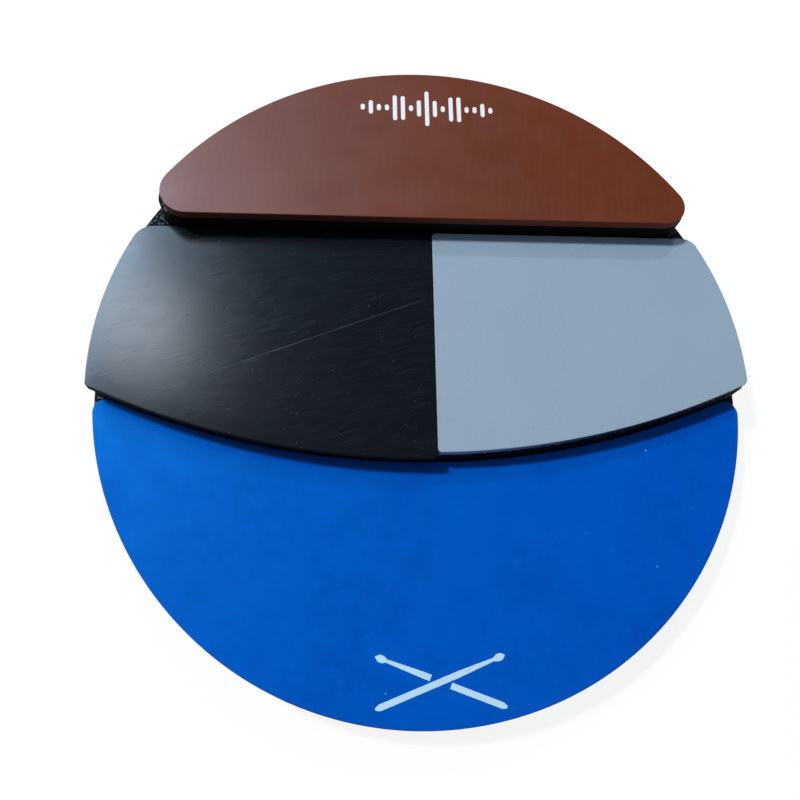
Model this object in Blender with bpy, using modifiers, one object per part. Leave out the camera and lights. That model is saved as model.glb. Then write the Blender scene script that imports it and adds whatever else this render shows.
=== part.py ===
"""A round drum practice pad with four rubber playing surfaces on three levels.

Metres, +Z up. The origin is the centre of the underside. The player stands at -Y, where the lowest
level is, and the levels rise towards +Y. Every level is cut from a disc of one size. The pad is stuck
together by hand, so the middle level sits slightly to the left and its front step is slightly askew.

Bottom to top: a non-slip sheet, a full round base board with the front pad, a middle board from the
front step back to the rear rim with two pads side by side, and a top board with the rear pad.
"""

import math

import bmesh
import bpy
from mathutils import Vector

# Driving dimensions.
DISC_RADIUS = 0.165
BASE_BOARD_OVERSIZE = 0.0004
MIDDLE_LEVEL_SHIFT = -0.0004
BOARD_THICKNESS = 0.015
PAD_THICKNESS = 0.005
REAR_PAD_THICKNESS = 0.006
NON_SLIP_THICKNESS = 0.003
NON_SLIP_INSET = 0.004
BOND_GAP = 0.0003  # glue line between two pieces that are stuck together

# The front step is an arc that bulges towards the player.
STEP_RADIUS = 0.3943
STEP_REACH = 0.0378  # how far the arc comes forward of the disc's centre
STEP_SHIFT = -0.0015
LEFT_PAD_OVERHANG = 0.0020
RIGHT_PAD_SETBACK = 0.0006

# The front pad's rear edge follows the step.
FRONT_PAD_CLEARANCE = 0.0005

# The rear step is a straight chord, with the rear pad hanging over the top board's face.
CHORD_Y = 0.0818
REAR_PAD_OVERHANG = 0.0014
LEFT_PAD_REAR_GAP = 0.0004
RIGHT_PAD_REAR_GAP = 0.0014

# The seam between the two middle pads runs front to back.
SEAM_X = 0.0045
SEAM_WIDTH = 0.0005

# Corner radii in plan.
FRONT_PAD_LEFT_TIP = 0.0065
FRONT_PAD_RIGHT_TIP = 0.007
MIDDLE_BOARD_LEFT_CORNER = 0.003
MIDDLE_BOARD_RIGHT_CORNER = 0.0035
LEFT_PAD_FRONT_CORNER = 0.002
LEFT_PAD_REAR_CORNER = 0.012
RIGHT_PAD_FRONT_CORNER = 0.004
RIGHT_PAD_REAR_CORNER = 0.009
SEAM_CORNER = 0.002
TOP_BOARD_LEFT_CORNER = 0.0105
TOP_BOARD_RIGHT_CORNER = 0.0085
REAR_PAD_LEFT_CORNER = 0.013
REAR_PAD_RIGHT_CORNER = 0.0105

PAD_EDGE_EASE = 0.0005  # the small chamfer along a pad's cut edges
FLATNESS = 0.00003  # how far a straight segment may stray from the arc it stands for
WELD_DISTANCE = 0.00001
SMOOTH_ANGLE = math.radians(30)
EASED_ANGLE = math.radians(60)
CORNER_SEARCH_STEPS = 12

BOARD_COLOUR = (0.010, 0.009, 0.009)
BOARD_ROUGHNESS = 0.70

# Heights of each level's underside.
BASE_BOARD_Z = NON_SLIP_THICKNESS + BOND_GAP
FRONT_PAD_Z = BASE_BOARD_Z + BOARD_THICKNESS + BOND_GAP
MIDDLE_BOARD_Z = FRONT_PAD_Z
MIDDLE_PAD_Z = MIDDLE_BOARD_Z + BOARD_THICKNESS + BOND_GAP
TOP_BOARD_Z = MIDDLE_PAD_Z
REAR_PAD_Z = TOP_BOARD_Z + BOARD_THICKNESS + BOND_GAP

DISC_CENTRE = Vector((0, 0))
MIDDLE_LEVEL_CENTRE = Vector((MIDDLE_LEVEL_SHIFT, 0))
STEP_CENTRE = Vector((STEP_SHIFT, STEP_RADIUS - STEP_REACH))


class Arc:
    """A stretch of outline on a circle. The piece lies inside the circle, or outside it."""

    def __init__(self, centre, radius, piece_inside=True):
        self.centre = centre
        self.radius = radius
        self.sign = 1 if piece_inside else -1

    def depth(self, point):
        return self.sign * (self.radius - (point - self.centre).length)

    def inward(self, point):
        return self.sign * (self.centre - point).normalized()

    def run(self, start, end):
        """Points from start up to but without end, anticlockwise round the piece."""
        first = math.atan2(*reversed(start - self.centre))
        turn = math.atan2(*reversed(end - self.centre)) - first
        turn = self.sign * ((self.sign * turn) % math.tau)
        steps = arc_steps(self.radius, turn)
        return [on_circle(self.centre, self.radius, first + turn * i / steps) for i in range(steps)]


class Line:
    """A straight stretch of outline through a point, with the piece on the side of its normal."""

    def __init__(self, point, normal):
        self.point = Vector(point)
        self.normal = Vector(normal)

    def depth(self, point):
        return (point - self.point).dot(self.normal)

    def inward(self, point):
        return self.normal

    def run(self, start, end):
        return [start]


def arc_steps(radius, turn):
    """How many segments keep a turn of this radius within FLATNESS of its circle."""
    largest = 2 * math.acos(1 - FLATNESS / radius)
    return max(1, math.ceil(abs(turn) / largest))


def on_circle(centre, radius, angle):
    return centre + radius * Vector((math.cos(angle), math.sin(angle)))


def corner_centre(before, after, radius, guess):
    """The point that lies a radius inside both edges, found by stepping along their normals."""
    point = Vector(guess)
    for _ in range(CORNER_SEARCH_STEPS):
        first, second = before.inward(point), after.inward(point)
        short = radius - before.depth(point), radius - after.depth(point)
        scale = first.x * second.y - first.y * second.x
        point = point + Vector((
            (short[0] * second.y - short[1] * first.y) / scale,
            (first.x * short[1] - second.x * short[0]) / scale,
        ))
    return point


def nearest(edge, point):
    return point - edge.inward(point) * edge.depth(point)


def outline(*corners):
    """An anticlockwise outline. Each corner is (edge that ends there, edge that starts, radius, near)."""
    centres = [corner_centre(*corner) for corner in corners]
    following = centres[1:] + centres[:1]
    points = []
    for (before, after, radius, _), centre, next_centre in zip(corners, centres, following):
        leave = nearest(after, centre)
        points += Arc(centre, radius).run(nearest(before, centre), leave)
        points += after.run(leave, nearest(after, next_centre))
    return points


def principled(name, colour, roughness):
    material = bpy.data.materials.new(name)
    material.use_nodes = True
    shader = material.node_tree.nodes["Principled BSDF"]
    shader.inputs["Base Color"].default_value = (*colour, 1)
    shader.inputs["Roughness"].default_value = roughness
    shader.inputs["Metallic"].default_value = 0
    return material


def finish(piece, name, material):
    """Names a piece, shades its round sides smooth and hands it to the object's frame."""
    piece.name = piece.data.name = name
    piece.data.shade_smooth()
    piece.data.set_sharp_from_angle(angle=SMOOTH_ANGLE)
    piece.data.materials.append(material)
    piece.parent = FRAME
    return piece


def disc(name, radius, bottom, thickness, material):
    """A full round plate."""
    bpy.ops.mesh.primitive_cylinder_add(
        vertices=arc_steps(radius, math.tau),
        radius=radius,
        depth=thickness,
        location=(0, 0, bottom + thickness / 2),
    )
    piece = bpy.context.object
    for collection in list(piece.users_collection):
        collection.objects.unlink(piece)
    PARTS.objects.link(piece)
    return finish(piece, name, material)


def plate(name, points, bottom, thickness, material):
    """A flat plate with the given outline."""
    curve = bpy.data.curves.new(name, "CURVE")
    curve.dimensions = "2D"
    curve.fill_mode = "BOTH"
    curve.extrude = thickness / 2
    spline = curve.splines.new("POLY")
    spline.points.add(len(points) - 1)
    for spot, point in zip(spline.points, points):
        spot.co = (*point, 0, 1)
    spline.use_cyclic_u = True
    drawn = bpy.data.objects.new(name + "_outline", curve)
    drawn.location.z = bottom + thickness / 2
    PARTS.objects.link(drawn)
    bpy.context.view_layer.update()

    evaluated = drawn.evaluated_get(bpy.context.evaluated_depsgraph_get())
    mesh = bpy.data.meshes.new_from_object(evaluated)
    solid = bmesh.new()
    solid.from_mesh(mesh)
    bmesh.ops.remove_doubles(solid, verts=solid.verts, dist=WELD_DISTANCE)
    bmesh.ops.recalc_face_normals(solid, faces=solid.faces)
    solid.to_mesh(mesh)
    solid.free()
    piece = bpy.data.objects.new(name, mesh)
    piece.matrix_world = drawn.matrix_world
    PARTS.objects.link(piece)
    bpy.data.objects.remove(drawn)
    return finish(piece, name, material)


def ease_edges(piece):
    """Chamfers a pad's cut edges a little."""
    bevel = piece.modifiers.new("eased_edges", "BEVEL")
    bevel.width = PAD_EDGE_EASE
    bevel.segments = 1
    bevel.limit_method = "ANGLE"
    bevel.angle_limit = EASED_ANGLE


for old in list(bpy.data.objects):
    bpy.data.objects.remove(old)

PARTS = bpy.data.collections.new("practice_pad")
bpy.context.scene.collection.children.link(PARTS)
FRAME = bpy.data.objects.new("practice_pad_frame", None)
PARTS.objects.link(FRAME)

# The edges that the outlines share.
rim = Arc(DISC_CENTRE, DISC_RADIUS)
middle_rim = Arc(MIDDLE_LEVEL_CENTRE, DISC_RADIUS)
chord = Line((0, CHORD_Y), (0, 1))
rear_pad_front = Line((0, CHORD_Y - REAR_PAD_OVERHANG), (0, 1))
left_pad_rear = Line((0, CHORD_Y - LEFT_PAD_REAR_GAP), (0, -1))
right_pad_rear = Line((0, CHORD_Y - RIGHT_PAD_REAR_GAP), (0, -1))
board_step = Arc(STEP_CENTRE, STEP_RADIUS)
left_pad_step = Arc(STEP_CENTRE, STEP_RADIUS + LEFT_PAD_OVERHANG)
right_pad_step = Arc(STEP_CENTRE, STEP_RADIUS - RIGHT_PAD_SETBACK)
front_pad_edge = Arc(STEP_CENTRE, STEP_RADIUS + FRONT_PAD_CLEARANCE, piece_inside=False)
seam_left = Line((SEAM_X - SEAM_WIDTH / 2, 0), (-1, 0))
seam_right = Line((SEAM_X + SEAM_WIDTH / 2, 0), (1, 0))

# Rough places of the corners, for the search that rounds them.
rim_left = (-DISC_RADIUS, 0)
rim_right = (DISC_RADIUS, 0)
chord_left = (-DISC_RADIUS, CHORD_Y)
chord_right = (DISC_RADIUS, CHORD_Y)
seam_front = (SEAM_X, -STEP_REACH)
seam_rear = (SEAM_X, CHORD_Y)


def make_non_slip_sheet():
    rubber = principled("non_slip_rubber", (0.012, 0.012, 0.013), 0.85)
    disc("non_slip_sheet", DISC_RADIUS - NON_SLIP_INSET, 0, NON_SLIP_THICKNESS, rubber)


def make_base_board():
    board = principled("base_board_black", BOARD_COLOUR, BOARD_ROUGHNESS)
    disc("base_board", DISC_RADIUS + BASE_BOARD_OVERSIZE, BASE_BOARD_Z, BOARD_THICKNESS, board)


def make_middle_board():
    points = outline(
        (middle_rim, board_step, MIDDLE_BOARD_LEFT_CORNER, rim_left),
        (board_step, middle_rim, MIDDLE_BOARD_RIGHT_CORNER, rim_right),
    )
    board = principled("middle_board_black", BOARD_COLOUR, BOARD_ROUGHNESS)
    plate("middle_riser_board", points, MIDDLE_BOARD_Z, BOARD_THICKNESS, board)


def make_top_board():
    points = outline(
        (rim, chord, TOP_BOARD_LEFT_CORNER, chord_left),
        (chord, rim, TOP_BOARD_RIGHT_CORNER, chord_right),
    )
    board = principled("top_board_black", BOARD_COLOUR, BOARD_ROUGHNESS)
    plate("top_riser_board", points, TOP_BOARD_Z, BOARD_THICKNESS, board)


def make_front_pad():
    points = outline(
        (front_pad_edge, rim, FRONT_PAD_LEFT_TIP, rim_left),
        (rim, front_pad_edge, FRONT_PAD_RIGHT_TIP, rim_right),
    )
    rubber = principled("blue_rubber", (0.004, 0.075, 0.41), 0.45)
    ease_edges(plate("front_pad_blue", points, FRONT_PAD_Z, PAD_THICKNESS, rubber))


def make_left_pad():
    points = outline(
        (left_pad_rear, middle_rim, LEFT_PAD_REAR_CORNER, chord_left),
        (middle_rim, left_pad_step, LEFT_PAD_FRONT_CORNER, rim_left),
        (left_pad_step, seam_left, SEAM_CORNER, seam_front),
        (seam_left, left_pad_rear, SEAM_CORNER, seam_rear),
    )
    rubber = principled("black_hard_rubber", (0.016, 0.019, 0.024), 0.40)
    ease_edges(plate("middle_left_pad_black", points, MIDDLE_PAD_Z, PAD_THICKNESS, rubber))


def make_right_pad():
    points = outline(
        (seam_right, right_pad_step, SEAM_CORNER, seam_front),
        (right_pad_step, middle_rim, RIGHT_PAD_FRONT_CORNER, rim_right),
        (middle_rim, right_pad_rear, RIGHT_PAD_REAR_CORNER, chord_right),
        (right_pad_rear, seam_right, SEAM_CORNER, seam_rear),
    )
    rubber = principled("grey_soft_rubber", (0.28, 0.39, 0.52), 0.60)
    ease_edges(plate("middle_right_pad_grey", points, MIDDLE_PAD_Z, PAD_THICKNESS, rubber))


def make_rear_pad():
    points = outline(
        (rim, rear_pad_front, REAR_PAD_LEFT_CORNER, chord_left),
        (rear_pad_front, rim, REAR_PAD_RIGHT_CORNER, chord_right),
    )
    rubber = principled("red_brown_rubber", (0.125, 0.035, 0.020), 0.50)
    ease_edges(plate("rear_pad_red", points, REAR_PAD_Z, REAR_PAD_THICKNESS, rubber))


make_non_slip_sheet()
make_base_board()
make_front_pad()
make_middle_board()
make_left_pad()
make_right_pad()
make_top_board()
make_rear_pad()
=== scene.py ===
"""The look of a round drum practice pad with four rubber playing surfaces on three levels.

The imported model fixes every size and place, in metres, +Z up, with the player at -Y. Its nodes are
plain plates. This script builds the finished piece over each node, from the node's own outline and
heights: rubber with a rounded cut edge and a slightly uneven face, boards with eased edges and a sheet
with a studded grip. It then lays printed marks on two of the pads.
"""

import math

import bmesh
import bpy
import numpy as np
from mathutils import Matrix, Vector, noise
from mathutils.geometry import delaunay_2d_cdt


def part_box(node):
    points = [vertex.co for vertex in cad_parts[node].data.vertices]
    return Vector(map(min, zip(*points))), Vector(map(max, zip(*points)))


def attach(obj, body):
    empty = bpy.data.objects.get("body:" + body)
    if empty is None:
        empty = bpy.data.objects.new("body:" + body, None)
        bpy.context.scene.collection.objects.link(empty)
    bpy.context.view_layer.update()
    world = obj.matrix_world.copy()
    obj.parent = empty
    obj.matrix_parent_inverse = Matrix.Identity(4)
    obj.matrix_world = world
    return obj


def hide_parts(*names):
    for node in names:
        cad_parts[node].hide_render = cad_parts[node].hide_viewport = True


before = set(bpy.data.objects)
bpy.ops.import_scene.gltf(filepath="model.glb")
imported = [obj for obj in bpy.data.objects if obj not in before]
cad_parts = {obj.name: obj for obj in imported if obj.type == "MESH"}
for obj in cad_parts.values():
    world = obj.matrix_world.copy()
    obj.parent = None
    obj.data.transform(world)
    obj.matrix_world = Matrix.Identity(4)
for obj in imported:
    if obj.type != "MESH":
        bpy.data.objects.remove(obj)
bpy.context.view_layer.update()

# The camera, above the player and looking down. The lens and the sensor are in millimetres.
CAMERA_PLACE = (-0.0500, -0.1446, 0.4741)
CAMERA_TURN = (0.29866, -0.07887, -0.01645)
CAMERA_LENS = 41.889
CAMERA_SENSOR = 36.0
CAMERA_NEAR = 0.01

# Lights that make light and shade but don't show as reflections. They all face the pad's centre, and
# their powers are in watts.
KEY_PLACE = (-2.05, 1.19, 4.00)
KEY_SIZE = 0.42
KEY_POWER = 168.0
SECOND_PLACE = (0.32, 1.37, 1.64)
SECOND_SIZE = 0.12
SECOND_POWER = 7.5
FILL_PLACE = (0.0, 0.0, 2.40)
FILL_SIZE = 2.4
FILL_POWER = 7.0
FILL_COLOUR = (0.62, 0.90, 1.28)

# Lights that show only as reflections.
WINDOW_PLACE = (-1.01, 0.74, 1.55)
WINDOW_SIZE = (1.05, 0.80)
WINDOW_POWER = 50.0
WINDOW_COLOUR = (0.58, 0.80, 1.05)
LAMP_PLACE = (-0.505, 0.715, 1.82)
LAMP_SIZE = 0.24
LAMP_POWER = 2.2
LAMP_COLOUR = (0.91, 0.98, 1.08)
WALL_PLACE = (-0.45, 1.25, 1.60)
WALL_SIZE = (1.20, 0.60)
WALL_POWER = 2.5

# The room: its glow falls from HORIZON_GLOW to CEILING_GLOW between two heights on a unit sphere.
HORIZON_GLOW = 0.30
HORIZON_HEIGHT = 0.20
CEILING_GLOW = 0.055
CEILING_HEIGHT = 0.50
FLOOR_GLOW = 0.88
FLOOR_RADIUS = 4.0
FLOOR_CORNERS = 96

# How finely the pieces are meshed.
WELD_DISTANCE = 0.000001
STRAIGHT_ENOUGH = math.radians(0.4)
OUTLINE_STEP = 0.0016
OUTLINE_TURN = math.radians(5)
FACE_STEP = 0.004
FACE_MARGIN = 0.7  # a face's inner points keep this share of FACE_STEP from its edge
WITHIN_RINGS = 1  # the kind of result that delaunay_2d_cdt gives: triangles within the rings only
SHARP_EDGE = math.radians(50)
SHARP_DETAIL = math.radians(30)

# The rubber sheets.
HARD_EDGE_ROUND = 0.0003
SOFT_EDGE_ROUND = 0.0005
ROUND_STEPS = 4
FOOT_ROUND = 0.0002
FOOT_ROUND_STEPS = 2
HOLDING_RING = 0.0002  # a narrow ring round the face, which keeps the rounding clean
CUT_HOLLOW = 0.0001  # a knife-cut side is slightly hollow
CUT_STEPS = 8
PILLOW_DROP = 0.00006  # how far the face falls towards its edge
PILLOW_REACH = 0.004
WAVE_HEIGHT = 0.00005
WAVE_LENGTH = 0.035

# The boards.
BOARD_ROUND = 0.0006
BOARD_ROUND_STEPS = 3
BOARD_WALL_STEPS = 8
BOARD_ROUGH = 0.00006
BOARD_ROUGH_LENGTH = 0.003

# The grip on the underside.
STUD_PITCH = 0.006
STUD_GROOVE = 0.0014
STUD_SLOPE = 0.0003
STUD_HEIGHT = 0.0005
STUD_BORDER = 0.003

# The printed marks.
INK_ABOVE = 0.00005
INK_BELOW = 0.00002
INK_STEP = 0.002


# ---------------------------------------------------------------------------------------------- outlines

def section(node):
    """The corners of a CAD node's outline at half its height, anticlockwise."""
    low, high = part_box(node)
    cut = bmesh.new()
    cut.from_mesh(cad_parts[node].data)
    bmesh.ops.remove_doubles(cut, verts=cut.verts, dist=WELD_DISTANCE)
    bmesh.ops.bisect_plane(
        cut,
        geom=cut.verts[:] + cut.edges[:] + cut.faces[:],
        plane_co=(low + high) / 2,
        plane_no=(0, 0, 1),
        clear_inner=True,
        clear_outer=True,
    )
    cut.verts.ensure_lookup_table()
    start = cut.verts[0]
    edge = start.link_edges[0]
    vertex = edge.other_vert(start)
    points = [start.co.xy]
    while vertex != start:
        points.append(vertex.co.xy)
        edge = next(e for e in vertex.link_edges if e != edge)
        vertex = edge.other_vert(vertex)
    points = np.array(points)
    cut.free()
    if signed_area(points) < 0:
        points = points[::-1]
    return without_straight_points(points)


def signed_area(points):
    after = np.roll(points, -1, axis=0)
    return float(np.sum(points[:, 0] * after[:, 1] - points[:, 1] * after[:, 0])) / 2


def headings(vectors):
    return np.arctan2(vectors[:, 1], vectors[:, 0])


def turns(points):
    """How far the outline turns at each point, in radians."""
    leaving = headings(np.roll(points, -1, axis=0) - points)
    arriving = np.roll(leaving, 1)
    return (leaving - arriving + math.pi) % math.tau - math.pi


def without_straight_points(points):
    return points[np.abs(turns(points)) > STRAIGHT_ENOUGH]


def unit(vectors):
    return vectors / np.linalg.norm(vectors, axis=1, keepdims=True)


def smooth(corners):
    """Closely spaced points on the smooth curve through an outline's corners."""
    after = np.roll(corners, -1, axis=0)
    before = np.roll(corners, 1, axis=0)
    lengths = np.linalg.norm(after - corners, axis=1)
    tangents = unit(after - before)
    bends = np.abs(turns(corners))
    points = []
    for i, length in enumerate(lengths):
        j = (i + 1) % len(corners)
        pieces = math.ceil(max(length / OUTLINE_STEP, min(bends[i], bends[j]) / OUTLINE_TURN))
        t = (np.arange(pieces) / pieces)[:, None]
        points.append(
            (2 * t**3 - 3 * t**2 + 1) * corners[i]
            + (t**3 - 2 * t**2 + t) * length * tangents[i]
            + (3 * t**2 - 2 * t**3) * corners[j]
            + (t**3 - t**2) * length * tangents[j]
        )
    return np.concatenate(points)


class Outline:
    """A piece's outline in plan, which can be drawn inwards."""

    def __init__(self, points):
        self.points = points
        along = unit(np.roll(points, -1, axis=0) - np.roll(points, 1, axis=0))
        self.inward = np.stack([-along[:, 1], along[:, 0]], axis=1)

    def inset(self, distance):
        return self.points + np.reshape(distance, (-1, 1)) * self.inward


# ------------------------------------------------------------------------------------------- mesh building

def inside(points, ring):
    """Which points lie within a closed ring, by counting the ring's crossings of a ray along +X."""
    after = np.roll(ring, -1, axis=0)
    x, y = points[:, :1], points[:, 1:]
    spans = (ring[:, 1] > y) != (after[:, 1] > y)
    rise = np.where(after[:, 1] == ring[:, 1], 1, after[:, 1] - ring[:, 1])
    crossing = ring[:, 0] + (y - ring[:, 1]) * (after[:, 0] - ring[:, 0]) / rise
    return np.sum(spans & (x < crossing), axis=1) % 2 == 1


def distance_to(points, ring):
    """How far each point is from the nearest point of a closely spaced ring."""
    return np.array([np.min(np.linalg.norm(ring - p, axis=1)) for p in points])


def triangle_grid(ring, step):
    """Points of a triangular grid inside a ring, clear of its edge."""
    low, high = ring.min(axis=0), ring.max(axis=0)
    row = step * math.sqrt(3) / 2
    points = []
    for j, y in enumerate(np.arange(low[1], high[1], row)):
        shift = step / 2 if j % 2 else 0
        points += [(x + shift, y) for x in np.arange(low[0], high[0], step)]
    points = np.array(points)
    points = points[inside(points, ring)]
    return points[distance_to(points, ring) > FACE_MARGIN * step]


def triangulate(points, rings):
    """Triangles over the points, held to the closed rings, which are lists of point numbers."""
    edges = [(ring[i - 1], ring[i]) for ring in rings for i in range(len(ring))]
    places = [Vector(p) for p in points.tolist()]
    _, _, faces, sources, _, _ = delaunay_2d_cdt(places, edges, [], WITHIN_RINGS, 0)
    source = [numbers[0] for numbers in sources]
    return [tuple(source[i] for i in face) for face in faces]


class Mesh:
    """Points and faces gathered for one piece."""

    def __init__(self):
        self.points = []
        self.faces = []

    def add_points(self, flat, heights):
        """Adds points from plan positions and heights, and gives their numbers."""
        first = len(self.points)
        heights = np.broadcast_to(heights, len(flat))
        self.points += [(float(p[0]), float(p[1]), float(z)) for p, z in zip(flat, heights)]
        return list(range(first, len(self.points)))

    def band(self, lower, upper):
        """Quads from one ring up to the next, facing out."""
        for i in range(len(lower)):
            self.faces.append((lower[i - 1], lower[i], upper[i], upper[i - 1]))

    def piece(self, name, material, sharp=SHARP_EDGE):
        """Makes the scene's object, smooth except where it turns by more than the sharp angle."""
        mesh = bpy.data.meshes.new(name)
        mesh.from_pydata(self.points, [], self.faces)
        mesh.validate()
        mesh.shade_smooth()
        mesh.set_sharp_from_angle(angle=sharp)
        mesh.materials.append(material)
        piece = bpy.data.objects.new(name, mesh)
        bpy.context.scene.collection.objects.link(piece)
        return piece


def quarter_round(radius, steps):
    """(inset, rise) pairs of a quarter circle, from the top of a wall round to the flat face."""
    angles = [math.pi / 2 * i / steps for i in range(steps + 1)]
    return [(radius * (1 - math.cos(a)), radius * math.sin(a)) for a in angles]


def lofted_plate(outline, profile, rough=None):
    """A plate's wall and its rings, from the bottom up. The profile is (inset, height) pairs, and rough
    gives how far a ring's points are shifted inwards."""
    mesh = Mesh()
    rings = []
    for inset, height in profile:
        if rough is not None:
            inset = inset + rough(outline.points, height)
        rings.append(mesh.add_points(outline.inset(inset), height))
    for lower, upper in zip(rings, rings[1:]):
        mesh.band(lower, upper)
    return mesh, rings


def close_plain(mesh, ring, up):
    """Closes a plate's flat face with triangles between its edge points."""
    flat = np.array([mesh.points[i][:2] for i in ring])
    for face in triangulate(flat, [range(len(ring))]):
        corners = [ring[i] for i in face]
        mesh.faces.append(tuple(corners if up else corners[::-1]))


# ---------------------------------------------------------------------------------------- playing surfaces

def unevenness(x, y, seed):
    """The gentle waves of a bonded rubber sheet."""
    spot = Vector((x / WAVE_LENGTH, y / WAVE_LENGTH, seed))
    return WAVE_HEIGHT * noise.noise(spot)


def face_heights(points, ring, top, seed):
    """Heights of a rubber sheet's face: wavy in the middle, and falling slightly towards its cut edge."""
    depth = np.clip(distance_to(points, ring) / PILLOW_REACH, 0, 1)
    ease = depth * depth * (3 - 2 * depth)
    waves = np.array([unevenness(x, y, seed) for x, y in points])
    return top - PILLOW_DROP * (1 - ease) + waves * ease


def rubber_sheet(name, node, material, seed, rounding=SOFT_EDGE_ROUND):
    """A playing surface: a hollow cut side, a rounded top edge and an uneven face."""
    low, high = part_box(node)
    outline = Outline(smooth(section(node)))
    wall_low = low.z + FOOT_ROUND
    wall_high = high.z - PILLOW_DROP - rounding
    foot_arc = quarter_round(FOOT_ROUND, FOOT_ROUND_STEPS)
    profile = [(inset, wall_low - rise) for inset, rise in reversed(foot_arc)]
    for i in range(1, CUT_STEPS):
        t = i / CUT_STEPS
        profile.append((CUT_HOLLOW * math.sin(math.pi * t), wall_low + t * (wall_high - wall_low)))
    profile += [(inset, wall_high + rise) for inset, rise in quarter_round(rounding, ROUND_STEPS)]
    mesh, rings = lofted_plate(outline, profile)
    close_plain(mesh, rings[0], up=False)

    edge_ring = outline.inset(rounding)
    holding = mesh.add_points(outline.inset(rounding + HOLDING_RING), high.z - PILLOW_DROP)
    mesh.band(rings[-1], holding)
    holding_flat = np.array([mesh.points[i][:2] for i in holding])
    grid = triangle_grid(holding_flat, FACE_STEP)
    inner = mesh.add_points(grid, face_heights(grid, edge_ring, high.z, seed))
    numbers = holding + inner
    flat = np.concatenate([holding_flat, grid])
    for face in triangulate(flat, [range(len(holding))]):
        mesh.faces.append(tuple(numbers[i] for i in face))
    piece = mesh.piece(name, material)
    settle(piece, node)
    return piece


def settle(piece, node):
    """Puts a piece on the pad's one body, in place of its CAD node."""
    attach(piece, "root")
    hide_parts(node)


# ------------------------------------------------------------------------------------------------- boards

def board(name, node, material, seed):
    """A painted board with eased edges and a slightly rippled side."""
    low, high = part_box(node)
    outline = Outline(smooth(section(node)))
    arc = quarter_round(BOARD_ROUND, BOARD_ROUND_STEPS)
    wall_low, wall_high = low.z + BOARD_ROUND, high.z - BOARD_ROUND
    profile = [(inset, wall_low - rise) for inset, rise in reversed(arc)]
    for i in range(1, BOARD_WALL_STEPS):
        profile.append((0, wall_low + (wall_high - wall_low) * i / BOARD_WALL_STEPS))
    profile += [(inset, wall_high + rise) for inset, rise in arc]
    shift = Vector((0, 0, seed))

    def rough(points, height):
        """The slight ripple that a router and a sanding block leave on the edge."""
        spots = [Vector((x, y, height)) / BOARD_ROUGH_LENGTH + shift for x, y in points]
        return np.array([BOARD_ROUGH * (1 + noise.noise(spot)) for spot in spots])

    mesh, rings = lofted_plate(outline, profile, rough)
    close_plain(mesh, rings[0], up=False)
    close_plain(mesh, rings[-1], up=True)
    piece = mesh.piece(name, material)
    settle(piece, node)
    return piece


# --------------------------------------------------------------------------------------------- underside

def grip_sheet(name, node, material):
    """The non-slip sheet, with rows of low square studs underneath inside a plain border."""
    low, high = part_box(node)
    outline = Outline(smooth(section(node)))
    floor = low.z + STUD_HEIGHT
    arc = quarter_round(FOOT_ROUND, FOOT_ROUND_STEPS)
    profile = [(inset, floor + FOOT_ROUND - rise) for inset, rise in reversed(arc)]
    profile += [(inset, high.z - FOOT_ROUND + rise) for inset, rise in arc]
    mesh, rings = lofted_plate(outline, profile)
    close_plain(mesh, rings[-1], up=True)

    radius = (high.x - low.x) / 2 - STUD_BORDER
    half_foot = (STUD_PITCH - STUD_GROOVE) / 2
    half_top = half_foot - STUD_SLOPE
    count = math.ceil(radius / STUD_PITCH)
    corners = np.array([(-1, -1), (1, -1), (1, 1), (-1, 1)])
    numbers = list(rings[0])
    loops = [range(len(numbers))]
    for i in range(-count, count + 1):
        for j in range(-count, count + 1):
            centre = np.array([i, j]) * STUD_PITCH
            if np.linalg.norm(np.abs(centre) + half_foot) > radius:
                continue
            foot = mesh.add_points(centre + corners * half_foot, floor)
            top = mesh.add_points(centre + corners * half_top, low.z)
            mesh.band(top, foot)
            mesh.faces.append(tuple(top[::-1]))
            loops.append(range(len(numbers), len(numbers) + len(foot)))
            numbers += foot
    flat = np.array([mesh.points[i][:2] for i in numbers])
    for face in triangulate(flat, loops):
        middle = flat[list(face)].mean(axis=0)
        cell = middle - STUD_PITCH * np.round(middle / STUD_PITCH)
        over_stud = np.max(np.abs(cell)) < half_foot
        if over_stud and np.linalg.norm(np.abs(middle - cell) + half_foot) <= radius:
            continue
        mesh.faces.append(tuple(numbers[i] for i in reversed(face)))
    piece = mesh.piece(name, material, sharp=SHARP_DETAIL)
    settle(piece, node)
    return piece


# ------------------------------------------------------------------------------------------------- prints

def printed(name, shapes, node, seed, material):
    """A printed mark: flat shapes of ink, each an anticlockwise outline, laid on a pad's face."""
    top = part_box(node)[1].z
    mesh = Mesh()
    for shape in shapes:
        ring = np.array(shape)
        surface = np.array([top + unevenness(x, y, seed) for x, y in ring])
        lower = mesh.add_points(ring, surface - INK_BELOW)
        upper = mesh.add_points(ring, surface + INK_ABOVE)
        mesh.band(lower, upper)
        for face in triangulate(ring, [range(len(ring))]):
            mesh.faces.append(tuple(upper[i] for i in face))
            mesh.faces.append(tuple(lower[i] for i in reversed(face)))
    piece = mesh.piece(name, material, sharp=SHARP_DETAIL)
    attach(piece, "root")
    return piece


def strip(start, end, width_at):
    """The outline of a straight stroke whose half width changes along it."""
    start, end = Vector(start), Vector(end)
    along = end - start
    steps = math.ceil(along.length / INK_STEP)
    side = along.normalized().orthogonal()
    right, left = [], []
    for i in range(steps + 1):
        t = i / steps
        spot = start + along * t
        right.append(spot - side * width_at(t * along.length))
        left.append(spot + side * width_at(t * along.length))
    return right + left[::-1]


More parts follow.
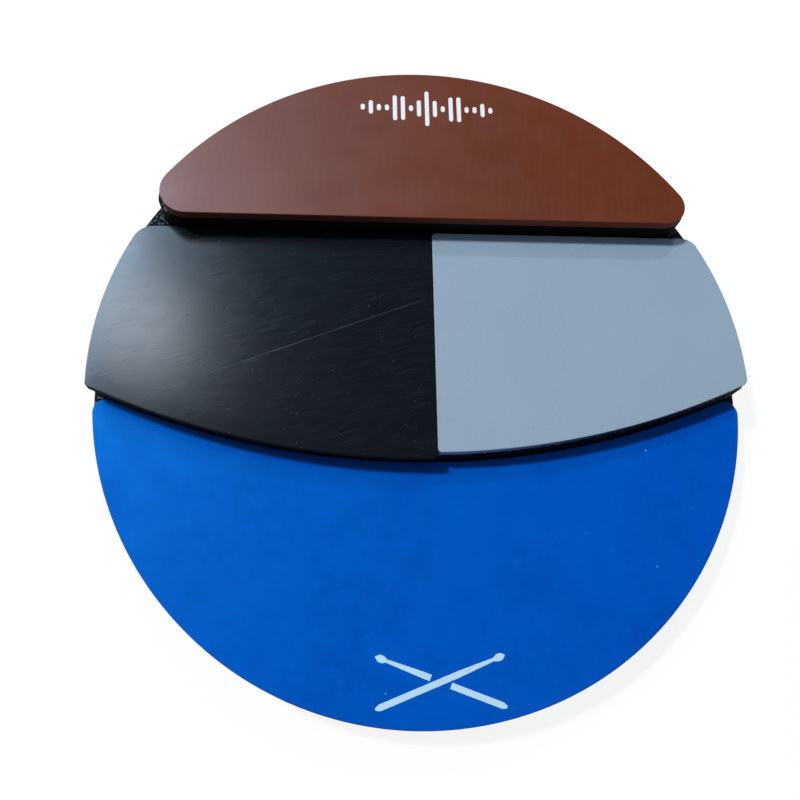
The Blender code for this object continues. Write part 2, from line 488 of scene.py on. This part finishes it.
WAVE_MARK_CENTRE = (0.0020, 0.1440)
WAVE_MARK_BARS = 17
WAVE_MARK_PITCH = 0.0042
WAVE_MARK_HALF_WIDTH = 0.0011
WAVE_MARK_HALF_HEIGHT = 0.0105
WAVE_MARK_LEAST_HALF_HEIGHT = 1.6 * WAVE_MARK_HALF_WIDTH
WAVE_MARK_HALF_BEATS = 5
WAVE_MARK_BEAT_DEPTH = 0.45
BAR_END_STEPS = 8


def rounded_bar(centre, half_width, half_length):
    """An upright bar with half-round ends."""
    x, y = centre
    reach = half_length - half_width
    points = []
    for first_angle, end in ((0, y + reach), (math.pi, y - reach)):
        for i in range(BAR_END_STEPS + 1):
            a = first_angle + math.pi * i / BAR_END_STEPS
            points.append((x + half_width * math.cos(a), end + half_width * math.sin(a)))
    return points


def wave_mark():
    """A row of upright bars that rise and fall like a sound wave."""
    x0, y0 = WAVE_MARK_CENTRE
    middle = (WAVE_MARK_BARS - 1) / 2
    bars = []
    for i in range(WAVE_MARK_BARS):
        place = (i - middle) / (middle + 1)
        beat = 1 - WAVE_MARK_BEAT_DEPTH * (1 - math.cos(WAVE_MARK_HALF_BEATS * math.pi * place))
        height = max(WAVE_MARK_HALF_HEIGHT * (1 - place**2) * beat, WAVE_MARK_LEAST_HALF_HEIGHT)
        bars.append(rounded_bar((x0 + (i - middle) * WAVE_MARK_PITCH, y0), WAVE_MARK_HALF_WIDTH, height))
    return bars


STICKS_CENTRE = (0.0048, -0.1434)
STICK_LENGTH = 0.066
STICK_HALF_WIDTH = 0.0015
STICK_NECK_HALF_WIDTH = 0.0008
STICK_TIP_LENGTH = 0.0062
STICK_TIP_HALF_WIDTH = 0.0018
STICK_TAPER_START = 0.042
STICK_BUTT_FULLNESS = 0.9  # 1 would make the butt half round
STICK_SLOPE = math.radians(21)
STICK_CROSSING_GAP = 0.0034


def stick_half_width(distance):
    """Half the width of a drumstick at a distance from its butt."""
    tip_start = STICK_LENGTH - STICK_TIP_LENGTH
    if distance > tip_start:
        t = (distance - tip_start) / STICK_TIP_LENGTH
        bead = STICK_TIP_HALF_WIDTH * math.sqrt(max(0, 1 - (2 * t - 1) ** 2))
        return max(bead, STICK_NECK_HALF_WIDTH * (1 - t))
    if distance > STICK_TAPER_START:
        t = (distance - STICK_TAPER_START) / (tip_start - STICK_TAPER_START)
        return STICK_HALF_WIDTH + t * (STICK_NECK_HALF_WIDTH - STICK_HALF_WIDTH)
    butt = min(1, distance / STICK_HALF_WIDTH)
    return STICK_HALF_WIDTH * math.sqrt(1 - STICK_BUTT_FULLNESS * (1 - butt) ** 2)


def sticks_mark():
    """Two crossed drumsticks, the lower one broken where the upper one passes over it."""
    centre = Vector(STICKS_CENTRE)
    across = Vector((math.cos(STICK_SLOPE), math.sin(STICK_SLOPE)))
    other = Vector((-across.x, across.y))
    half = STICK_LENGTH / 2
    gap = STICK_CROSSING_GAP / math.sin(2 * STICK_SLOPE)
    shapes = [strip(centre - across * half, centre + across * half, stick_half_width)]
    shapes.append(strip(centre - other * half, centre - other * gap, stick_half_width))
    shapes.append(strip(centre + other * gap, centre + other * half,
                        lambda d: stick_half_width(d + half + gap)))
    return shapes


# ---------------------------------------------------------------------------------------------- materials

SIDE_TILT = 0.3  # a normal's height below which a face counts as an upright side
FACE_TILT = 0.9  # and above which it counts as flat
SCRATCH_FADE = 0.08


def opaque(colour):
    """A colour with its fourth value, or a socket as it is."""
    return (*colour, 1.0) if isinstance(colour, tuple) else colour


class Surface:
    """A procedural material, built node by node.

    Textures sit in the shared frame, so scales count features to the metre and bumps are in metres.
    """

    def __init__(self, name):
        self.material = bpy.data.materials.new(name)
        self.material.use_nodes = True
        self.tree = self.material.node_tree
        self.shader = self.tree.nodes["Principled BSDF"]
        self.place = self.add("ShaderNodeTexCoord").outputs["Object"]
        self.normal = None

    def add(self, kind, **settings):
        node = self.tree.nodes.new(kind)
        for key, value in settings.items():
            setattr(node, key, value)
        return node

    def feed(self, socket, value):
        """Links a socket to another, or sets it to a constant."""
        if isinstance(value, bpy.types.NodeSocket):
            self.tree.links.new(value, socket)
        else:
            socket.default_value = value

    def set(self, **inputs):
        """Sets the shader's inputs, such as Base_Color."""
        for key, value in inputs.items():
            self.feed(self.shader.inputs[key.replace("_", " ")], value)

    def math(self, operation, *values):
        """The result of a sum over sockets or constants."""
        node = self.add("ShaderNodeMath", operation=operation)
        for socket, value in zip(node.inputs, values):
            self.feed(socket, value)
        return node.outputs["Value"]

    def turned(self, angle, centre=(0, 0, 0)):
        """Places turned back by an angle about Z, so that X runs along that angle."""
        turn = self.add("ShaderNodeVectorRotate", rotation_type="Z_AXIS")
        self.feed(turn.inputs["Vector"], self.place)
        self.feed(turn.inputs["Center"], centre)
        self.feed(turn.inputs["Angle"], -angle)
        return turn.outputs["Vector"]

    def grained(self, angle, stretch, shift=(0, 0, 0)):
        """Turned places that are then stretched, for grain that runs one way."""
        scale = self.add("ShaderNodeMapping", vector_type="POINT")
        self.feed(scale.inputs["Vector"], self.turned(angle))
        self.feed(scale.inputs["Scale"], stretch)
        self.feed(scale.inputs["Location"], shift)
        return scale.outputs["Vector"]

    def along(self, vector, axis):
        """One coordinate of a vector."""
        split = self.add("ShaderNodeSeparateXYZ")
        self.feed(split.inputs["Vector"], vector)
        return split.outputs[axis]

    def noise(self, scale, detail=2.0, roughness=0.5, place=None):
        """Cloudy noise about 0.5, at the surface's own places unless others are given."""
        node = self.add("ShaderNodeTexNoise")
        self.feed(node.inputs["Vector"], place or self.place)
        self.feed(node.inputs["Scale"], scale)
        self.feed(node.inputs["Detail"], detail)
        self.feed(node.inputs["Roughness"], roughness)
        return node.outputs["Fac"]

    def band(self, value, low, high, to_low=0.0, to_high=1.0):
        """Maps low..high to to_low..to_high, clamped."""
        node = self.add("ShaderNodeMapRange", interpolation_type="SMOOTHSTEP")
        self.feed(node.inputs["Value"], value)
        for name, limit in (("From Min", low), ("From Max", high), ("To Min", to_low), ("To Max", to_high)):
            self.feed(node.inputs[name], limit)
        return node.outputs["Result"]

    def blend(self, share, first, second):
        """The first colour where the share is 0, and the second where it is 1."""
        node = self.add("ShaderNodeMix", data_type="RGBA")
        self.feed(node.inputs["Factor"], share)
        self.feed(node.inputs["A"], opaque(first))
        self.feed(node.inputs["B"], opaque(second))
        return node.outputs["Result"]

    def sides(self):
        """One on the upright cut sides, and nothing on the faces that look up or down."""
        normal = self.add("ShaderNodeNewGeometry").outputs["Normal"]
        return self.band(self.math("ABSOLUTE", self.along(normal, "Z")), SIDE_TILT, FACE_TILT, 1.0, 0.0)

    def specks(self, scale, size, share):
        """Scattered round specks, size as a share of a cell, in a share of the cells."""
        node = self.add("ShaderNodeTexVoronoi")
        self.feed(node.inputs["Vector"], self.place)
        self.feed(node.inputs["Scale"], scale)
        chance = self.add("ShaderNodeSeparateColor")
        self.feed(chance.inputs["Color"], node.outputs["Color"])
        near = self.band(node.outputs["Distance"], 0.5 * size, size, 1.0, 0.0)
        picked = self.math("LESS_THAN", chance.outputs["Red"], share)
        return self.math("MULTIPLY", near, picked)

    def scratch(self, start, end, half_width):
        """A thin straight scratch between two places in plan, which fades at its ends."""
        start, end = Vector(start), Vector(end)
        stroke = end - start
        place = self.turned(math.atan2(stroke.y, stroke.x), (start.x, start.y, 0))
        run = self.math("SUBTRACT", self.along(place, "X"), start.x)
        side = self.math("ABSOLUTE", self.math("SUBTRACT", self.along(place, "Y"), start.y))
        near = self.band(side, 0.0, half_width, 1.0, 0.0)
        begun = self.band(run, 0.0, SCRATCH_FADE * stroke.length)
        not_over = self.band(run, (1 - SCRATCH_FADE) * stroke.length, stroke.length, 1.0, 0.0)
        return self.math("MULTIPLY", near, self.math("MULTIPLY", begun, not_over))

    def bump(self, height, distance):
        """Adds relief over whatever relief is there already."""
        node = self.add("ShaderNodeBump")
        self.feed(node.inputs["Height"], height)
        self.feed(node.inputs["Distance"], distance)
        if self.normal is not None:
            self.feed(node.inputs["Normal"], self.normal)
        self.normal = node.outputs["Normal"]
        self.feed(self.shader.inputs["Normal"], self.normal)


def blue_rubber():
    """Smooth rubber, cloudy in two sizes, with a little dust."""
    deep, plain = (0.0, 0.058, 0.425), (0.0, 0.076, 0.490)
    worn, pale = (0.0, 0.085, 0.515), (0.0, 0.12, 0.60)
    dusty = (0.35, 0.55, 0.75)
    s = Surface("blue_rubber_skin")
    grain = s.noise(1500, 2)
    dust = s.specks(90, 0.045, 0.30)
    colour = s.blend(s.band(s.noise(16, 4, 0.6), 0.32, 0.68), deep, plain)
    colour = s.blend(s.band(s.noise(110, 5, 0.65), 0.38, 0.62, 0.0, 0.50), colour, worn)
    colour = s.blend(s.band(grain, 0.3, 0.8, 0.0, 0.10), colour, pale)
    colour = s.blend(dust, colour, dusty)
    rough = s.band(s.noise(60, 4), 0.3, 0.7, 0.46, 0.56)
    s.set(Base_Color=colour, Roughness=s.math("MAXIMUM", s.sides(), rough), IOR=1.5)
    s.set(Specular_IOR_Level=0.7, Specular_Tint=(0.02, 0.54, 0.90, 1.0))
    s.bump(s.noise(320, 3), 0.00003)
    s.bump(grain, 0.00001)
    s.bump(dust, 0.00005)
    return s.material


# The brushed grain of the black pad, and the long scratch across it in plan.
BRUSHING_ANGLE = math.radians(18)
SCRATCH_START = (-0.134, -0.008)
SCRATCH_END = (0.003, 0.044)
SCRATCH_HALF_WIDTH = 0.0002


def black_rubber():
    """Hard rubber with a brushed grain, dust and one long scratch."""
    deep, plain = (0.003, 0.005, 0.008), (0.004, 0.006, 0.0095)
    brushed, lined = (0.007, 0.010, 0.015), (0.009, 0.014, 0.020)
    faint_dust, dust = (0.035, 0.042, 0.052), (0.10, 0.11, 0.13)
    scratched, cut = (0.028, 0.032, 0.038), (0.001, 0.002, 0.004)
    s = Surface("black_rubber_skin")
    grain = s.noise(1, 2, 0.5, s.grained(BRUSHING_ANGLE, (80, 950, 1)))
    lines = s.noise(1, 1, 0.5, s.grained(BRUSHING_ANGLE, (55, 1350, 1), (3, 5, 0)))
    scratch = s.scratch(SCRATCH_START, SCRATCH_END, SCRATCH_HALF_WIDTH)
    sides = s.sides()
    colour = s.blend(s.band(s.noise(25, 3), 0.3, 0.7), deep, plain)
    colour = s.blend(s.band(grain, 0.35, 0.8, 0.0, 0.5), colour, brushed)
    colour = s.blend(s.band(lines, 0.40, 0.75, 0.0, 0.45), colour, lined)
    colour = s.blend(s.specks(300, 0.12, 0.40), colour, faint_dust)
    colour = s.blend(s.specks(170, 0.060, 0.35), colour, dust)
    colour = s.blend(scratch, colour, scratched)
    colour = s.blend(sides, colour, cut)
    brushing = s.math("MULTIPLY", s.math("ADD", grain, lines), 0.5)
    rough = s.math("MULTIPLY_ADD", scratch, 0.35, s.band(brushing, 0.35, 0.65, 0.165, 0.205))
    s.set(Base_Color=colour, Roughness=s.math("MAXIMUM", sides, rough), IOR=1.5)
    s.set(Specular_IOR_Level=0.36)
    s.bump(grain, 0.000008)
    s.bump(lines, 0.000008)
    return s.material


def grey_rubber():
    """Soft rubber whose cut side is darkened towards +X, away from the seam, as painted shade."""
    deep, plain, pale = (0.240, 0.332, 0.428), (0.256, 0.350, 0.444), (0.29, 0.388, 0.495)
    plain_grey_cut, shaded_grey_cut = (0.20, 0.30, 0.36), (0.006, 0.008, 0.012)
    s = Surface("grey_rubber_skin")
    grain = s.noise(1700, 2, 0.7)
    # Painted shade: the cut side darkens towards +X, where it faces away from the light.
    grey_cut_shade = s.band(s.along(s.place, "X"), 0.010, 0.105)
    colour = s.blend(s.band(s.noise(22, 3), 0.3, 0.7), deep, plain)
    colour = s.blend(s.band(grain, 0.25, 0.75), colour, pale)
    colour = s.blend(s.sides(), colour, s.blend(grey_cut_shade, plain_grey_cut, shaded_grey_cut))
    s.set(Base_Color=colour, Roughness=s.band(s.noise(80, 3), 0.3, 0.7, 0.62, 0.72), IOR=1.5)
    s.bump(s.noise(400, 3), 0.00003)
    s.bump(grain, 0.00002)
    return s.material


def red_rubber():
    """Red-brown rubber with faint lines from front to rear, and a cut side painted darker at the left as
    painted shade.
    """
    deep, plain, lined = (0.124, 0.023, 0.003), (0.140, 0.027, 0.005), (0.165, 0.040, 0.014)
    shaded_red_cut, plain_red_cut = (0.045, 0.006, 0.001), (0.115, 0.022, 0.009)
    s = Surface("red_brown_rubber_skin")
    lines = s.noise(1, 2, 0.5, s.grained(math.radians(-4), (900, 25, 1)))
    # Painted shade: the cut side is darker at the left, where less light reaches it.
    side = s.blend(s.band(s.along(s.place, "X"), -0.06, 0.03), shaded_red_cut, plain_red_cut)
    colour = s.blend(s.band(s.noise(24, 3), 0.3, 0.7), deep, plain)
    colour = s.blend(s.band(lines, 0.3, 0.8, 0.0, 0.35), colour, lined)
    colour = s.blend(s.sides(), colour, side)
    rough = s.band(s.noise(70, 4), 0.3, 0.7, 0.36, 0.44)
    s.set(Base_Color=colour, Roughness=s.math("MAXIMUM", s.sides(), rough), IOR=1.5)
    s.bump(s.noise(320, 3), 0.00001)
    s.bump(lines, 0.00001)
    return s.material


def painted_board():
    """Black paint over a fibrous board, pitted, with pale specks where it faces up: partly dust, partly a
    painted sparkle of sheen.
    """
    pitted, plain = (0.0018, 0.0019, 0.0022), (0.008, 0.007, 0.006)
    fibrous, dusty = (0.04, 0.034, 0.028), (0.13, 0.15, 0.16)
    s = Surface("black_painted_board")
    pits = s.noise(900, 4, 0.7)
    fibre = s.noise(2200, 2, 0.6)
    # Pale specks on the up-facing faces: partly dust, partly painted sparkle of sheen.
    dust = s.math("MULTIPLY", s.specks(900, 0.55, 0.55), s.math("SUBTRACT", 1.0, s.sides()))
    colour = s.blend(s.band(pits, 0.45, 0.75), pitted, plain)
    colour = s.blend(s.band(fibre, 0.62, 0.75, 0.0, 0.8), colour, fibrous)
    colour = s.blend(dust, colour, dusty)
    s.set(Base_Color=colour, Roughness=s.band(pits, 0.3, 0.7, 0.7, 0.95), IOR=1.5)
    s.set(Specular_IOR_Level=0.12)
    s.bump(pits, 0.00010)
    s.bump(fibre, 0.00004)
    return s.material


def grip_rubber():
    """Dull black rubber, slightly grey in the grain."""
    deep, plain, pale = (0.010, 0.010, 0.011), (0.018, 0.018, 0.019), (0.035, 0.035, 0.037)
    s = Surface("non_slip_rubber_skin")
    grain = s.noise(1300, 3, 0.6)
    colour = s.blend(s.band(s.noise(18, 3), 0.3, 0.7), deep, plain)
    colour = s.blend(s.band(grain, 0.4, 0.8, 0.0, 0.5), colour, pale)
    s.set(Base_Color=colour, Roughness=s.band(grain, 0.3, 0.7, 0.75, 0.9), IOR=1.5)
    s.bump(grain, 0.00004)
    return s.material


def ink(name, fresh, worn):
    """Printing ink, worn through in fine spots."""
    s = Surface(name)
    colour = s.blend(s.band(s.noise(700, 4, 0.7), 0.62, 0.75), fresh, worn)
    s.set(Base_Color=colour, Roughness=s.band(s.noise(300, 2), 0.3, 0.7, 0.45, 0.6))
    s.bump(s.noise(900, 3), 0.00001)
    return s.material


def floor_paper():
    """Pale paper that glows a little, for the photograph's white ground."""
    darker, lighter = (0.115, 0.115, 0.115), (0.125, 0.125, 0.125)
    s = Surface("pale_floor_paper")
    s.set(Base_Color=s.blend(s.noise(60, 4), darker, lighter), Roughness=0.9)
    s.set(Emission_Color=(1, 1, 1, 1), Emission_Strength=FLOOR_GLOW)
    return s.material


# -------------------------------------------------------------------------------------------------- stage

def make_floor():
    mesh = Mesh()
    angles = np.linspace(0, math.tau, FLOOR_CORNERS, endpoint=False)
    ring = [(FLOOR_RADIUS * math.cos(a), FLOOR_RADIUS * math.sin(a)) for a in angles]
    mesh.faces.append(tuple(mesh.add_points(ring, 0.0)))
    floor = mesh.piece("floor", floor_paper())


def make_world():
    """Dim overhead and bright low down, like a room with pale walls."""
    world = bpy.data.worlds.new("studio")
    world.use_nodes = True
    tree = world.node_tree
    background = tree.nodes["Background"]
    direction = tree.nodes.new("ShaderNodeTexCoord")
    split = tree.nodes.new("ShaderNodeSeparateXYZ")
    ramp = tree.nodes.new("ShaderNodeMapRange")
    ramp.interpolation_type = "SMOOTHSTEP"
    tree.links.new(direction.outputs["Generated"], split.inputs[0])
    tree.links.new(split.outputs["Z"], ramp.inputs["Value"])
    ramp.inputs["From Min"].default_value = HORIZON_HEIGHT
    ramp.inputs["From Max"].default_value = CEILING_HEIGHT
    ramp.inputs["To Min"].default_value = HORIZON_GLOW
    ramp.inputs["To Max"].default_value = CEILING_GLOW
    tree.links.new(ramp.outputs["Result"], background.inputs["Strength"])
    background.inputs["Color"].default_value = (1, 1, 1, 1)
    bpy.context.scene.world = world


def area_light(name, place, power, size, colour=(1, 1, 1)):
    """A light that faces the pad: round, or a rectangle where the size is a pair."""
    light = bpy.data.lights.new(name, "AREA")
    light.energy = power
    light.color = colour
    if isinstance(size, tuple):
        light.shape = "RECTANGLE"
        light.size, light.size_y = size
    else:
        light.shape = "DISK"
        light.size = size
    lamp = bpy.data.objects.new(name, light)
    bpy.context.scene.collection.objects.link(lamp)
    lamp.location = place
    lamp.rotation_euler = (-Vector(place)).to_track_quat("-Z", "Y").to_euler()
    return lamp


def make_lights():
    for light in (
        area_light("key_light", KEY_PLACE, KEY_POWER, KEY_SIZE),
        area_light("second_light", SECOND_PLACE, SECOND_POWER, SECOND_SIZE),
        area_light("fill_light", FILL_PLACE, FILL_POWER, FILL_SIZE, FILL_COLOUR),
    ):
        light.visible_glossy = False
    for light in (
        area_light("window_light", WINDOW_PLACE, WINDOW_POWER, WINDOW_SIZE, WINDOW_COLOUR),
        area_light("lamp_light", LAMP_PLACE, LAMP_POWER, LAMP_SIZE, LAMP_COLOUR),
        area_light("rear_wall_light", WALL_PLACE, WALL_POWER, WALL_SIZE, WINDOW_COLOUR),
    ):
        light.visible_diffuse = False


def make_camera():
    camera = bpy.data.cameras.new("camera")
    camera.lens = CAMERA_LENS
    camera.sensor_width = CAMERA_SENSOR
    camera.clip_start = CAMERA_NEAR
    seat = bpy.data.objects.new("camera", camera)
    bpy.context.scene.collection.objects.link(seat)
    seat.location = CAMERA_PLACE
    seat.rotation_euler = CAMERA_TURN
    bpy.context.scene.camera = seat


# ------------------------------------------------------------------------------------------------ the pad

# The seeds of the waves in the two pads that carry a print. The ink follows the same waves.
FRONT_SEED = 11
REAR_SEED = 14

make_camera()

black_board = painted_board()
grip_sheet("grip_sheet", "non_slip_sheet", grip_rubber())
board("round_base_board", "base_board", black_board, seed=1)
board("middle_board", "middle_riser_board", black_board, seed=2)
board("top_board", "top_riser_board", black_board, seed=3)
rubber_sheet("blue_front_pad", "front_pad_blue", blue_rubber(), seed=FRONT_SEED)
rubber_sheet("black_left_pad", "middle_left_pad_black", black_rubber(), seed=12,
             rounding=HARD_EDGE_ROUND)
rubber_sheet("grey_right_pad", "middle_right_pad_grey", grey_rubber(), seed=13)
rubber_sheet("red_rear_pad", "rear_pad_red", red_rubber(), seed=REAR_SEED)

rear_ink = ink("white_ink", fresh=(0.82, 0.84, 0.86), worn=(0.45, 0.25, 0.2))
front_ink = ink("pale_ink", fresh=(0.48, 0.72, 0.90), worn=(0.10, 0.30, 0.62))
printed("rear_printed_mark", wave_mark(), "rear_pad_red", REAR_SEED, rear_ink)
printed("front_printed_mark", sticks_mark(), "front_pad_blue", FRONT_SEED, front_ink)

make_floor()
make_world()
make_lights()
bpy.context.scene.view_settings.view_transform = "Standard"
